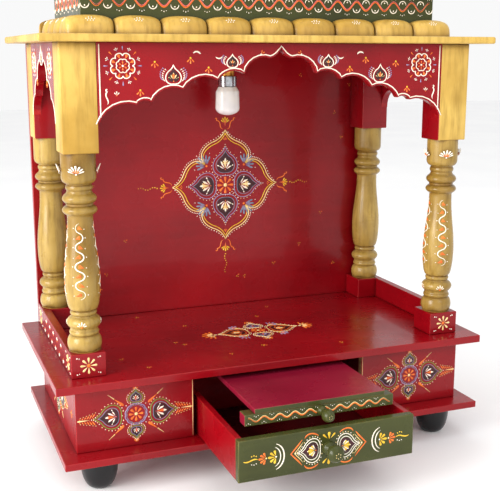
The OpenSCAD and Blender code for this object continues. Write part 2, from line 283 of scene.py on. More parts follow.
RED = lacquer("red_lacquer", linear(112, 3, 12), linear(152, 8, 20), linear(196, 52, 46))
MAROON = lacquer("maroon_stain", linear(60, 6, 10), linear(92, 14, 18), linear(140, 60, 50), 0.05)
GREEN = lacquer("olive_paint", linear(46, 50, 20), linear(72, 76, 34), linear(150, 140, 80), 0.1)
CRIMSON = lacquer("crimson_paint", linear(104, 10, 32), linear(144, 26, 52), linear(190, 84, 90), 0.12)
BLACK = lacquer("black_gloss", linear(6, 6, 8), linear(13, 13, 16), linear(50, 46, 42), 0.35, 0.3)
YELLOW = aged_yellow("aged_yellow", linear(174, 134, 48), linear(216, 180, 92), 0.008, 0.45, (0.34, 0.55))
TURNED = aged_yellow("turned_yellow", linear(128, 96, 34), linear(186, 156, 82), 0.012, 0.55, (0.2, 0.36))
WOOD = bare_wood("bare_wood")
CHROME = metal("lamp_chrome", linear(206, 208, 212), linear(150, 150, 152), 0.14)
BRASS = metal("lamp_brass", linear(212, 150, 70), linear(150, 92, 34), 0.24)
GLASS = milk_glass("bulb_glass")
FLOOR = plain_floor("pale_floor")

INKS = {
    "white": relief_paint("ink_white", linear(250, 242, 226), linear(238, 226, 206)),
    "cream": relief_paint("ink_cream", linear(246, 222, 160), linear(232, 200, 128)),
    "yellow": relief_paint("ink_yellow", linear(238, 196, 52), linear(220, 172, 34)),
    "orange": relief_paint("ink_orange", linear(236, 124, 44), linear(218, 98, 30)),
    "pink": relief_paint("ink_pink", linear(236, 120, 130), linear(220, 96, 110)),
    "violet": relief_paint("ink_violet", linear(158, 146, 182), linear(134, 124, 166)),
    "blue": relief_paint("ink_blue", linear(126, 140, 160), linear(96, 112, 140)),
    "green": relief_paint("ink_green", linear(120, 150, 60), linear(96, 124, 42)),
    "dark": relief_paint("ink_dark", linear(64, 14, 22), linear(46, 8, 14)),
    "nail": metal("nail_steel", linear(150, 146, 140), linear(96, 84, 72), 0.34),
}


# ---- mesh helpers ----


def add_object(name, bm):
    mesh = bpy.data.meshes.new(name)
    bm.to_mesh(mesh)
    bm.free()
    item = bpy.data.objects.new(name, mesh)
    bpy.context.scene.collection.objects.link(item)
    return item


def smooth(item, angle=38):
    item.data.polygons.foreach_set("use_smooth", [True] * len(item.data.polygons))
    item.data.set_sharp_from_angle(angle=math.radians(angle))


def place_piece(item, body, slot, *nodes):
    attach(item, body)
    if nodes:
        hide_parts(*nodes)
    return item


def softened(node, material, slot, body="temple", rounding=0.9, shortest=2.5, paint_faces=None):
    """A copy of a CAD node with its hard edges rounded over, which stands for the node."""
    bm = bmesh.new()
    bm.from_mesh(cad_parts[node].data)
    bmesh.ops.remove_doubles(bm, verts=bm.verts, dist=2e-5)
    bmesh.ops.dissolve_limit(bm, angle_limit=math.radians(0.6), verts=bm.verts, edges=bm.edges)
    hard = [
        e
        for e in bm.edges
        if len(e.link_faces) == 2
        and e.calc_face_angle(0) > math.radians(40)
        and e.calc_length() > shortest * MM
    ]
    bmesh.ops.bevel(
        bm,
        geom=hard,
        offset=rounding * MM,
        segments=3,
        profile=0.5,
        affect="EDGES",
        clamp_overlap=True,
    )
    for face in bm.faces:
        face.material_index = paint_faces(face) if paint_faces else 0
    item = add_object(node + "_finish", bm)
    for entry in material if isinstance(material, list) else [material]:
        item.data.materials.append(entry)
    smooth(item)
    weigh = item.modifiers.new("even_shading", "WEIGHTED_NORMAL")
    weigh.keep_sharp = True
    return place_piece(item, body, slot, node)


def radius_along(node, axis_x, axis_y):
    """The radius of a turned CAD node at a height, both in mm, read from its vertices."""
    rings = {}
    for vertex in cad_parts[node].data.vertices:
        reach = math.hypot(vertex.co.x / MM - axis_x, vertex.co.y / MM - axis_y)
        height = round(vertex.co.z / MM, 1)
        rings[height] = max(rings.get(height, 0), reach)
    heights = sorted(rings)

    def radius(z):
        above = next((h for h in heights if h >= z), heights[-1])
        below = next((h for h in reversed(heights) if h <= z), heights[0])
        share = (z - below) / (above - below) if above > below else 0
        return rings[below] + (rings[above] - rings[below]) * share

    return radius


# ---- relief painting ----


class Face:
    """A flat face: across and up are measured in mm along the frame's own axes."""

    def __init__(self, across, up, out, level):
        self.across, self.up, self.out = Vector(across), Vector(up), Vector(out)
        self.level = level

    def at(self, u, v, height):
        return (self.across * u + self.up * v + self.out * (self.level + height)) * MM


class Round:
    """The outside of a turned piece: u in mm round the axis from the facing, v is the height."""

    def __init__(self, axis_x, axis_y, radius, facing, middle):
        self.axis_x, self.axis_y, self.radius = axis_x, axis_y, radius
        self.facing, self.middle = facing, middle

    def at(self, u, v, height):
        angle = self.facing + u / self.middle
        reach = self.radius(v) + height
        x = self.axis_x + reach * math.cos(angle)
        y = self.axis_y + reach * math.sin(angle)
        return Vector((x, y, v)) * MM


class Canvas:
    """Collects relief strokes for one surface, and makes one mesh for each colour."""

    def __init__(self, name, surface, body="temple", relief=0.45):
        self.name, self.surface, self.body, self.relief = name, surface, body, relief
        self.strokes = {}

    def paint(self, marks, at=(0, 0), turn=0.0, size=1.0, flip=False):
        """Lays marks down at a point, turned in degrees, scaled, and mirrored if asked."""
        cos, sin = math.cos(math.radians(turn)), math.sin(math.radians(turn))
        for ink, points, widths in marks:
            laid = []
            for x, y in points:
                x = -x if flip else x
                laid.append((at[0] + size * (x * cos - y * sin), at[1] + size * (x * sin + y * cos)))
            self.strokes.setdefault(ink, []).append((laid, [w * size for w in widths]))

    def build(self):
        for ink, strokes in self.strokes.items():
            points, faces = [], []
            for laid, widths in strokes:
                if len(laid) == 1:
                    self.dab(laid[0], widths[0], points, faces)
                else:
                    self.stroke(laid, widths, points, faces)
            mesh = bpy.data.meshes.new(f"{self.name}_{ink}")
            mesh.from_pydata(points, [], faces)
            mesh.validate()
            mesh.polygons.foreach_set("use_smooth", [True] * len(mesh.polygons))
            item = bpy.data.objects.new(f"{self.name}_{ink}", mesh)
            bpy.context.scene.collection.objects.link(item)
            mesh.materials.append(INKS[ink])
            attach(item, self.body)

    def dab(self, centre, width, points, faces, sides=10):
        """A domed dot."""
        start = len(points)
        high = min(self.relief, width * 0.4)
        for share, lift in ((1.0, -0.05), (0.72, 0.7), (0.36, 0.95)):
            for i in range(sides):
                angle = TAU * i / sides
                u = centre[0] + width / 2 * share * math.cos(angle)
                v = centre[1] + width / 2 * share * math.sin(angle)
                points.append(self.surface.at(u, v, high * lift))
        points.append(self.surface.at(*centre, high))
        for ring in range(2):
            for i in range(sides):
                j = (i + 1) % sides
                a, b = start + ring * sides, start + (ring + 1) * sides
                faces.append((a + i, a + j, b + j, b + i))
        for i in range(sides):
            faces.append((start + 2 * sides + i, start + 2 * sides + (i + 1) % sides, start + 3 * sides))

    def stroke(self, laid, widths, points, faces):
        """A half-round bead of paint along a path, as wide at each point as widths says."""
        if len(widths) == 1:
            widths = widths * len(laid)
        closed = math.dist(laid[0], laid[-1]) < 1e-6
        start = len(points)
        last = len(laid) - 1
        for i, (x, y) in enumerate(laid):
            before = laid[last - 1 if closed and i == 0 else max(i - 1, 0)]
            after = laid[1 if closed and i == last else min(i + 1, last)]
            dx, dy = after[0] - before[0], after[1] - before[1]
            length = math.hypot(dx, dy) or 1.0
            side_x, side_y = -dy / length, dx / length
            half = widths[i] / 2
            high = min(self.relief, half * 0.75)
            for share, lift in ((-1, -0.05), (-0.62, 0.74), (0, 1.0), (0.62, 0.74), (1, -0.05)):
                points.append(self.surface.at(x + side_x * half * share, y + side_y * half * share, high * lift))
        for i in range(last):
            for j in range(4):
                a, b = start + i * 5 + j, start + (i + 1) * 5 + j
                faces.append((a, b, b + 1, a + 1))
        if not closed:
            faces.append(tuple(start + j for j in range(5)))
            faces.append(tuple(start + last * 5 + j for j in reversed(range(5))))


# ---- strokes: each gives (ink, points, widths) in mm round its own origin ----


def bezier(a, b, c, d, count=12):
    shares = [i / count for i in range(count + 1)]
    return [
        tuple(
            a[k] * (1 - t) ** 3 + 3 * b[k] * t * (1 - t) ** 2 + 3 * c[k] * t * t * (1 - t) + d[k] * t**3
            for k in (0, 1)
        )
        for t in shares
    ]


def tapered(count, width, start=0.35, end=0.35):
    """Widths that swell from start to full and shrink to end, as shares of width."""
    widths = []
    for i in range(count):
        t = i / (count - 1)
        share = start + (1 - start) * min(1, t * 5) if t < 0.5 else end + (1 - end) * min(1, (1 - t) * 5)
        widths.append(width * share)
    return widths


def line(ink, points, width=1.1):
    return [(ink, points, tapered(len(points), width))]


def dot(ink, x, y, width=1.6):
    return [(ink, [(x, y)], [width])]


def drop(ink, a, b, width):
    """A teardrop, thin at a and round at b."""
    shares = (0, 0.18, 0.4, 0.62, 0.8, 0.92, 1)
    fullness = (0.12, 0.3, 0.58, 0.86, 1.0, 0.84, 0.3)
    points = [(a[0] + (b[0] - a[0]) * t, a[1] + (b[1] - a[1]) * t) for t in shares]
    return [(ink, points, [width * f for f in fullness])]


def polar(radius, degrees):
    angle = math.radians(degrees)
    return radius * math.cos(angle), radius * math.sin(angle)


def mirrored(marks):
    return [(ink, [(-x, y) for x, y in points], widths) for ink, points, widths in marks]


def moved(marks, dx, dy, turn=0.0, size=1.0):
    cos, sin = math.cos(math.radians(turn)) * size, math.sin(math.radians(turn)) * size
    return [
        (ink, [(dx + x * cos - y * sin, dy + x * sin + y * cos) for x, y in points], [w * size for w in widths])
        for ink, points, widths in marks
    ]


def dotted(ink, points, width=1.2, every=1, shrink=1.0):
    marks = []
    for i, (x, y) in enumerate(points[::every]):
        marks += dot(ink, x, y, width * shrink**i)
    return marks


def fan(ink, count, spread, inner, outer, width):
    """Teardrops that stand round the origin, fanned about +Y."""
    marks = []
    for i in range(count):
        angle = 90 + spread * (i / (count - 1) - 0.5)
        long = outer * (1 - 0.18 * abs(i / (count - 1) - 0.5) * 2)
        marks += drop(ink, polar(inner, angle), polar(long, angle), width)
    return marks


def blossom(ink, count, inner, outer, width, centre=None):
    marks = []
    for i in range(count):
        angle = 90 + 360 * i / count
        marks += drop(ink, polar(inner, angle), polar(outer, angle), width)
    if centre:
        marks += dot(centre, 0, 0, inner * 1.7)
    return marks


def scallops(ink, count, radius, bulge, width):
    """A ring of arcs that bow outwards."""
    marks = []
    for i in range(count):
        a, b = 360 * i / count, 360 * (i + 1) / count
        reach = radius + bulge
        marks.append(
            (ink, bezier(polar(radius, a), polar(reach, a + 0.1 * (b - a)), polar(reach, b - 0.1 * (b - a)), polar(radius, b), 8), [width])
        )
    return marks


def lotus_outline(length, width):
    """A pointed ogee from its base at the origin up to +Y and back."""
    right = bezier((0, 0), (width * 0.62, -length * 0.06), (width * 0.72, length * 0.5), (width * 0.2, length * 0.74), 10)
    right += bezier((width * 0.2, length * 0.74), (width * 0.1, length * 0.82), (width * 0.03, length * 0.9), (0, length), 4)[1:]
    return right + [(-x, y) for x, y in reversed(right[:-1])]


def lotus(length, width, outer="green", inner="blue", fill="orange", heart="pink"):
    """A lotus bud: dots round two lines, a dark core, and a small fleuron within."""
    outline = lotus_outline(length, width)
    core = [(x * 0.5, length * 0.16 + y * 0.56) for x, y in outline]
    marks = [("dark", core, [length * 0.16])]
    marks.append((outer, outline, [1.0]))
    marks.append((inner, [(x * 0.76, length * 0.1 + y * 0.76) for x, y in outline], [0.8]))
    for i, (x, y) in enumerate(outline[1:-1]):
        reach = math.hypot(x, y - length * 0.42) or 1
        ink = "white" if i % 2 else "cream"
        marks += dot(ink, x + x / reach * 2.1, y + (y - length * 0.42) / reach * 2.1, 1.2)
    fleuron = fan("white" if inner == "blue" else inner, 5, 120, length * 0.06, length * 0.4, length * 0.085)
    marks += moved(fleuron, 0, length * 0.2)
    marks += drop(fill, (0, length * 0.26), (0, length * 0.5), length * 0.1)
    return marks + dot(heart, 0, length * 0.2, 2.0)


def feather(length=15, ink="orange", core="cream"):
    """A leaf of slanted teardrops that carries a bud's tip on along +Y."""
    marks = []
    count = 6
    for i in range(count):
        share = i / (count - 1)
        y = length * share * 0.78
        reach = (5.6 - 3.6 * share) * length / 15
        for side in (1, -1):
            marks += drop(ink, (side * 0.9, y + 1.2), (side * reach, y - 2.6 + 3.2 * share), 1.7)
            marks += dot(core, side * (reach + 1.3), y - 3.4 + 3.6 * share, 1.0)
    return marks + drop(core, (0, length * 0.2), (0, length), 1.7)


def comb(count=7, reach=13, first="orange", second="cream"):
    """A comb of teardrops on a lotus's tip."""
    marks = fan(first, count, 150, reach * 0.25, reach, reach * 0.17)
    marks += fan(second, count - 1, 126, reach * 0.2, reach * 0.62, reach * 0.13)
    return marks + dot(second, 0, 0, reach * 0.2)


def comet(length=22, ink="cream", head="orange"):
    """A bulb with a straight tail that breaks up into dots along +Y."""
    marks = drop(head, (0, length * 0.62), (0, 0), 3.2) + drop(ink, (0, length * 0.5), (0, 0.8), 1.3)
    path = [(0, length * (0.66 + 0.07 * i)) for i in range(6)]
    return marks + dotted(ink, path, 1.5, 1, 0.9)


def scroll(length=16, ink="white", curl=4.5):
    """An S that ends in a curl."""
    body = bezier((0, 0), (length * 0.34, -curl), (length * 0.62, curl * 1.3), (length, 0), 12)
    hook = [
        (length + curl * 0.5 - curl * 0.5 * (1 - i / 9) * math.cos(i * 0.55), curl * 0.5 * (1 - i / 9) * math.sin(i * 0.55))
        for i in range(8)
    ]
    return [(ink, body + hook[1:], tapered(len(body) + len(hook) - 1, 1.4, 0.3, 0.5))]


def sprig(ink="white", base="orange", size=1.0):
    """Three small leaves and a dot."""
    marks = drop(ink, (0, 1), (0, 5.2), 1.5)
    marks += drop(ink, (0.4, 0.6), (3.2, 3.6), 1.4)
    marks += drop(ink, (-0.4, 0.6), (-3.2, 3.6), 1.4)
    return moved(marks + dot(base, 0, 0, 1.8), 0, 0, 0, size)


def two_dots(ink="orange"):
    return drop(ink, (0, 0), (2.6, 1.2), 1.3) + dot("yellow", -1.6, -0.4, 1.1) + dot("yellow", 0.6, -2.0, 0.9)


# ---- motifs ----


def rosette():
    """Round flower of a valance's end, about 18 mm in radius."""
    marks = scallops("white", 8, 10.2, 5.2, 1.2)
    marks += scallops("white", 8, 5.8, 2.3, 1.0)
    for i in range(8):
        angle = 22.5 + 45 * i
        marks += drop("orange", polar(8.0, angle), polar(12.4, angle), 3.2)
        marks += dot("white", *polar(10.8, angle - 22.5), 1.3)
        marks += drop("orange" if i % 2 else "violet", polar(15.6, angle - 22.5), polar(20.2, angle - 22.5), 1.5)
        marks += moved(sprig("white", "violet", 0.62), *polar(16.4, angle), turn=angle - 90)
    marks += blossom("orange", 6, 1.4, 4.6, 1.7, "white")
    return marks


def heart(wide=15, high=19):
    """Leaf-shaped valance ornament, its tip up."""
    outline = lotus_outline(high, wide)
    marks = [("white", outline, [1.2])]
    marks += [("dark", [(x * 0.5, high * 0.2 + y * 0.5) for x, y in outline], [4.0])]
    marks += fan("cream", 5, 120, high * 0.08, high * 0.4, high * 0.1)
    marks[-5:] = moved(marks[-5:], 0, high * 0.2)
    marks += drop("orange", (0, high * 0.2), (0, high * 0.56), high * 0.13)
    marks += dot("orange", 0, high * 0.16, 2.4)
    for side in (1, -1):
        for row, ink in ((2.6, "white"), (5.6, "violet")):
            for i in range(7):
                x, y = outline[3 + i]
                away_x, away_y = 0.82, 0.57
                base = (side * (x + row * away_x), y + row * away_y * 0.7)
                tip = (base[0] + side * 2.0, base[1] + 1.5)
                marks += drop(ink, base, tip, 1.2)
    return marks


def panel_motif():
    """Wide ornament of a base panel, 65 mm out to each side and 33 mm up and down."""
    marks = scallops("violet", 12, 11.4, 2.0, 1.1) + scallops("blue", 12, 10.0, 1.4, 0.7)
    marks += blossom("orange", 8, 2.2, 8.2, 2.9, "cream")
    marks += blossom("cream", 8, 2.6, 6.0, 1.1)
    for i in range(16):
        marks += dot("white", *polar(15.6, 360 * i / 16), 1.1)
    for turn in (90, -90):
        bud = lotus(31, 26) + moved(feather(17), 0, 32)
        marks += moved(bud, *polar(16.5, turn + 90), turn=turn)
    for turn in (0, 180):
        bud = lotus(15.5, 15) + moved(fan("orange", 5, 100, 0.5, 4.6, 1.3), 0, 15)
        marks += moved(bud, *polar(13.5, turn + 90), turn=turn)
    for angle in (40, 140, 220, 320):
        marks += moved(comet(22), *polar(18, angle), turn=angle - 90)
    return marks


def quarter_mandala():
    """One of the four petals of the round ornament on the back panel, towards +Y."""
    half = bezier((31, 31), (38, 40), (33, 54), (15, 60), 14) + bezier((15, 60), (8, 63), (3, 68), (0, 75), 6)[1:]
    marks = []
    for share, ink, width in ((1.0, "cream", 1.3), (0.93, "yellow", 1.1)):
        path = [(x * share, y * share + (1 - share) * 10) for x, y in half]
        marks.append((ink, path, [width]))
        marks.append((ink, [(-x, y) for x, y in path], [width]))
    for x, y in half[1:-2]:
        reach = math.hypot(x, y - 36) or 1
        for side in (1, -1):
            marks += dot("white", side * (x + x / reach * 2.8), y + (y - 36) / reach * 2.8, 1.4)
    bud = lotus(40, 33, "violet", "blue", "cream", "orange")
    marks += moved(bud, 0, 13)
    marks += moved(fan("cream", 5, 120, 1.5, 7.5, 1.6), 0, 28)
    marks += moved(fan("orange", 3, 70, 1.0, 5, 1.4), 0, 60)
    for side in (1, -1):
        curl = scroll(15, "orange", 4.5)
        curl = moved(curl, 3, 76, 52)
        marks += curl if side > 0 else mirrored(curl)
    marks += moved(fan("yellow", 5, 110, 1.2, 8.5, 2.0), 0, 84)
    marks += drop("orange", (0, 80), (0, 88), 2.2)
    wave = [(1.6 * math.sin(i * 1.1), 96 + i * 3.2) for i in range(9)]
    marks += dotted("yellow", wave, 1.9, 1, 0.93)
    return marks


def mandala():
    marks = []
    for turn in (0, 90, 180, 270):
        marks += moved(quarter_mandala(), 0, 0, turn)
        spray = fan("blue", 7, 130, 3, 17, 2.5) + fan("violet", 6, 110, 3, 11, 1.5) + dot("orange", 0, 0, 3.2)
        spray += fan("white", 5, 120, 18.5, 20.5, 1.2)
        marks += moved(spray, *polar(38, turn + 45), turn=turn - 45)
    marks += blossom("orange", 8, 3, 11.5, 3.6, "cream")
    marks += blossom("yellow", 8, 4, 8.5, 1.3)
    for i in range(24):
        marks += dot("white", *polar(13.6, 15 * i), 1.1)
    return marks


def floor_mandala():
    """Four-petalled ornament of the shrine's floor, wider than deep."""
    marks = []
    for turn in (90, -90):
        bud = lotus(40, 30, "cream", "orange", "cream", "pink") + moved(comb(7, 17, "orange", "cream"), 0, 44)
        marks += moved(bud, *polar(14, turn + 90), turn=turn)
    for turn in (0, 180):
        bud = lotus(20, 20, "cream", "violet", "orange", "pink") + moved(comb(5, 8), 0, 21)
        marks += moved(bud, *polar(11, turn + 90), turn=turn)
    for angle in (38, 142, 218, 322):
        spray = fan("violet", 5, 110, 2, 12, 2.0) + fan("orange", 4, 80, 2, 8, 1.4) + dot("yellow", 0, 0, 2.4)
        marks += moved(spray, *polar(28, angle), turn=angle - 90)
    marks += blossom("orange", 8, 2.4, 9.5, 2.8, "cream")
    return marks


# ---- the parts of the temple ----

body_low, body_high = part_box("back_panel")
RED_NODES = (
    ["lower_board", "base_panel_left", "base_panel_right", "base_side_left", "base_side_right"]
    + ["base_back", "upper_board", "plinth_blocks", "side_rail_left", "side_rail_right"]
    + ["back_panel", "front_valance", "side_valance_left", "side_valance_right", "step_block"]
)


def mm_box(node):
    low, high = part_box(node)
    return low / MM, high / MM


def make_boards():
    for node in RED_NODES:
        if node not in ("base_panel_left", "base_panel_right"):
            softened(node, RED, "red_paint")
    for node, inward in (("base_panel_left", 1), ("base_panel_right", -1)):
        bare = lambda face, inward=inward: 1 if face.normal.x * inward > 0.9 else 0
        softened(node, [RED, WOOD], "red_paint", paint_faces=bare)
    for node in ("cornice_board", "frieze_cap", "step_cap"):
        softened(node, YELLOW, "yellow_paint", rounding=2.2)
    for node in ("frieze_front", "frieze_rear", "frieze_ends"):
        softened(node, GREEN, "green_paint")
    for node in ("drawer_guides", "tray_hangers", "tray_ledges"):
        softened(node, MAROON, "red_paint", rounding=0.5)


def make_drawer_and_tray():
    softened("drawer_front", GREEN, "green_paint", "drawer")
    softened("drawer_sides", RED, "red_paint", "drawer")
    softened("drawer_back", RED, "red_paint", "drawer")
    softened("drawer_bottom", MAROON, "red_paint", "drawer", 0.4)
    softened("drawer_knob", GREEN, "green_paint", "drawer", 0.4, 20)
    front = lambda face: 1 if face.normal.y < -0.9 else 0
    ends = lambda face: 1 if abs(face.normal.x) > 0.9 else 0
    softened("tray_board", [CRIMSON, GREEN], "crimson_paint", "tray", 0.6, paint_faces=front)
    softened("tray_strip", [GREEN, CRIMSON], "green_paint", "tray", paint_faces=ends)
    softened("tray_knob", GREEN, "green_paint", "tray", 0.4, 20)


def bead(low, high, inner, outer, count=14):
    """Half round between two heights, as radius and height."""
    steps = [i / count for i in range(count + 1)]
    return [(inner + (outer - inner) * math.sin(math.pi * t) ** 0.8, low + (high - low) * t) for t in steps]


def pillar_profile():
    """A pillar's turned length, as radius and height in mm above its plinth block."""
    profile = [(17.4, 0)] + bead(0.5, 16, 16.6, 18.6) + [(14.8, 17.5)] + bead(18, 23, 14.9, 16)
    profile += [(14.9, 24.5)] + bead(26, 37.5, 15.2, 18.6) + [(13.6, 38.5)] + bead(39.5, 45, 13.2, 14.4)
    for i in range(17):
        angle = i * math.pi / 32
        profile.append((14 + 5 * math.sin(angle), 77 - 31 * math.cos(angle)))
    for i in range(1, 19):
        profile.append((13.7 + 2.65 * (1 + math.cos(i * math.pi / 18)), 77 + 68 * i / 18))
    profile += [(13.7, 148)] + bead(149.5, 159.5, 14.4, 18.6) + bead(161.5, 172, 14.4, 18.2)
    profile += [(13.2, 174)] + bead(175.5, 181.5, 13.2, 14.4)
    for i in range(13):
        angle = i * math.pi / 24
        profile.append((14 + 4.6 * math.sin(angle), 190 - 7 * math.cos(angle)))
    return profile + [(18.6, 215)]


def lathe(bm, x, y, base, profile, sides=72):
    """Turns a profile round an upright axis; x, y and base in mm."""
    rings = []
    for radius, height in profile:
        ring = []
        for i in range(sides):
            angle = TAU * i / sides
            place = Vector((x + radius * math.cos(angle), y + radius * math.sin(angle), base + height))
            ring.append(bm.verts.new(place * MM))
        rings.append(ring)
    for lower, upper in zip(rings, rings[1:]):
        for i in range(sides):
            j = (i + 1) % sides
            bm.faces.new((lower[i], lower[j], upper[j], upper[i]))
    bm.faces.new(list(reversed(rings[0])))
    bm.faces.new(rings[-1])


def make_pillar(node, inward, depth):
    """A turned pillar with a square top, whose faces towards the interior are red."""
    low, high = mm_box(node)
    profile = pillar_profile()
    square = low.z + profile[-1][1]
    middle = (low + high) / 2
    bm = bmesh.new()
    bmesh.ops.create_cube(bm, size=1)
    for vertex in bm.verts:
        vertex.co.x = (middle.x + vertex.co.x * (high.x - low.x)) * MM
        vertex.co.y = (middle.y + vertex.co.y * (high.y - low.y)) * MM
        vertex.co.z = (high.z if vertex.co.z > 0 else square) * MM
    bmesh.ops.bevel(bm, geom=bm.edges[:], offset=1.2 * MM, segments=3, profile=0.5, affect="EDGES")
    box_faces = bm.faces[:]
    for face in box_faces:
        inside = face.normal.x * inward > 0.7 or face.normal.y * depth > 0.7
        face.material_index = 1 if inside else 0
    lathe(bm, middle.x, middle.y, low.z, profile)
    for face in set(bm.faces) - set(box_faces):
        face.material_index = 2
    item = add_object(node + "_turned", bm)
    for material in (YELLOW, RED, TURNED):
        item.data.materials.append(material)
    smooth(item, 50)
    place_piece(item, "temple", "yellow_paint", node)


def make_pillars():
    for row, depth in (("front", 1), ("rear", -1)):
        for side, inward in (("left", 1), ("right", -1)):
            make_pillar(f"pillar_{row}_{side}", inward, depth)


def make_turned():
    softened("feet", BLACK, "black_paint", rounding=0.5, shortest=20)
    softened("dome", RED, "red_paint", rounding=0.5, shortest=20)
    softened("finial", YELLOW, "yellow_paint", rounding=0.5, shortest=20)
    softened("bulb_holder", [BRASS, CHROME], "lamp_metal", rounding=0.3, shortest=20, paint_faces=holder_face)
    softened("bulb", GLASS, "bulb_white", rounding=0.3, shortest=20)


def holder_face(face):
    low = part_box("bulb_holder")[0].z
    return 1 if face.calc_center_median().z < low + 0.0135 else 0


# ---- lotus petals ----


class Petal:
    """One pillow-shaped petal: u from -1 to 1 across, v from 0 at its foot to 1 at its top."""

    def __init__(self, origin, along, out, width, depth, height):
        self.origin, self.along, self.out = Vector(origin), Vector(along), Vector(out)
        self.width, self.depth, self.height = width, depth, height

    def point(self, u, v):
        cheek = math.sqrt(max(0, 1 - abs(u) ** 2.6))
        depth = self.depth * (0.60 + 0.40 * cheek)
        height = self.height * (0.66 + 0.34 * cheek)
        angle = v * math.pi / 2
        reach = depth * max(0, math.cos(angle)) ** 0.62
        rise = height * math.sin(angle) ** 0.86
        across = u * self.width / 2
        return self.origin + self.along * across + self.out * reach + Vector((0, 0, rise))

    def at(self, u, v, height):
        step = 0.01
        here = self.point(u, v)
        side = self.point(min(u + step, 1), v) - self.point(max(u - step, -1), v)
        rise = self.point(u, min(v + step, 1)) - self.point(u, max(v - step, 0))
        normal = side.cross(rise).normalized()
        if normal.dot(self.out) < 0:
            normal = -normal
        return (here + normal * height) * MM


def petal_mesh(bm, petal, across=14, up=9):
    grid = []
    for i in range(across + 1):
        u = math.sin((i / across - 0.5) * math.pi)
        grid.append([bm.verts.new(petal.point(u, j / up) * MM) for j in range(up + 1)])
    for i in range(across):
        for j in range(up):
            bm.faces.new((grid[i][j], grid[i + 1][j], grid[i + 1][j + 1], grid[i][j + 1]))
    wall = [bm.verts.new((petal.point(0, 0) - petal.out * petal.depth + petal.along * petal.width / 2 * s) * MM) for s in (-1, 1)]
    bm.faces.new([wall[0]] + [column[0] for column in grid] + [wall[1]])
    bm.faces.new([wall[0]] + [grid[0][j] for j in range(up, -1, -1)])
    bm.faces.new([wall[1]] + [grid[across][j] for j in range(up + 1)])
    bm.faces.new([wall[0], wall[1]] + [column[up] for column in reversed(grid)])


def petal_row(petals, node_label):
    bm = bmesh.new()
    spray = []
    for index, petal in enumerate(petals):
        petal_mesh(bm, petal)
        spray.append(petal)
    bmesh.ops.recalc_face_normals(bm, faces=bm.faces)
    item = add_object(node_label, bm)
    item.data.materials.append(YELLOW)
    smooth(item, 50)
    return item


def spray_dots(name, petals, size=1.5):
    """Small white dots near the top of each petal."""
    points, faces = [], []
    for petal in petals:
        canvas = Canvas(name, PetalPatch(petal))
        for row, count in ((0.0, 3), (2.6, 4), (5.2, 2)):
            for i in range(count):
                canvas.dab(((i - (count - 1) / 2) * 3.0, row), size, points, faces, 8)
    mesh = bpy.data.meshes.new(name)
    mesh.from_pydata(points, [], faces)
    mesh.polygons.foreach_set("use_smooth", [True] * len(mesh.polygons))
    mesh.materials.append(INKS["white"])
    item = bpy.data.objects.new(name, mesh)
    bpy.context.scene.collection.objects.link(item)
    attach(item, "temple")


class PetalPatch:
    """The upper middle of a petal, in mm from a point two thirds of the way up."""

    def __init__(self, petal):
        self.petal = petal

    def at(self, u, v, height):
        petal = self.petal
        rise = 0.46 + v / (petal.height * 1.55)
        return petal.at(u / (petal.width / 2), min(rise, 0.98), height)


def straight_row(count, length, centre, turn, depth, height):
    """Petals side by side, the row centred on a point of the wall they lean on."""
    angle = math.radians(turn)
    along = Vector((math.cos(angle), math.sin(angle), 0))
    out = Vector((math.sin(angle), -math.cos(angle), 0))
    pitch = length / count
    petals = []
    for i in range(count):
        place = Vector(centre) + along * ((i + 0.5) * pitch - length / 2)
        petals.append(Petal(place, along, out, pitch - 0.4, depth, height))
    return petals


def make_petals():
    wall_low, wall_high = mm_box("frieze_front")
    rear_high = mm_box("frieze_rear")[1]
    row_low, row_high = mm_box("petals_front_row")
    depth = wall_low.y - row_low.y
    height = row_high.z - row_low.z
    length = row_high.x - row_low.x
    z = row_low.z
    end_depth = rear_high.y - wall_low.y
    rows = {
        "petals_front_row": straight_row(9, length, (0, wall_low.y, z), 0, depth, height),
        "petals_rear_row": straight_row(9, length, (0, rear_high.y, z), 180, depth, height),
    }
    middle = (wall_low.y + rear_high.y) / 2
    ends = straight_row(4, end_depth, (wall_high.x, middle, z), 90, depth, height)
    ends += straight_row(4, end_depth, (wall_low.x, middle, z), -90, depth, height)
    rows["petals_end_rows"] = ends
    step_low, step_high = mm_box("step_block")
    up_low, up_high = mm_box("upper_petals")
    up_depth, up_height = step_low.x - up_low.x, up_high.z - up_low.z
    upper = straight_row(7, up_high.x - up_low.x, (0, step_low.y, step_low.z), 0, up_depth, up_height)
    upper += straight_row(7, up_high.x - up_low.x, (0, step_high.y, step_low.z), 180, up_depth, up_height)
    middle = (step_low.y + step_high.y) / 2
    for x, turn in ((step_high.x, 90), (step_low.x, -90)):
        upper += straight_row(3, step_high.y - step_low.y, (x, middle, step_low.z), turn, up_depth, up_height)
    rows["upper_petals"] = upper
    for node, petals in rows.items():
        item = petal_row(petals, node + "_lotus")
        place_piece(item, "temple", "yellow_paint", node)
        spray_dots(node + "_dots", petals, 1.5 if node != "upper_petals" else 1.1)


# ---- painting on the parts ----


def front_of(node):
    """The face of a node towards -Y: x across, z up."""
    return Face((1, 0, 0), (0, 0, 1), (0, -1, 0), -mm_box(node)[0].y)


def rear_of(node):
    return Face((1, 0, 0), (0, 0, 1), (0, 1, 0), mm_box(node)[1].y)


def side_of(node, side):
    """The face of a node towards -X or +X: y across, z up."""
    low, high = mm_box(node)
    return Face((0, 1, 0), (0, 0, 1), (side, 0, 0), high.x if side > 0 else -low.x)


def top_of(node):
    return Face((1, 0, 0), (0, 1, 0), (0, 0, 1), mm_box(node)[1].z)


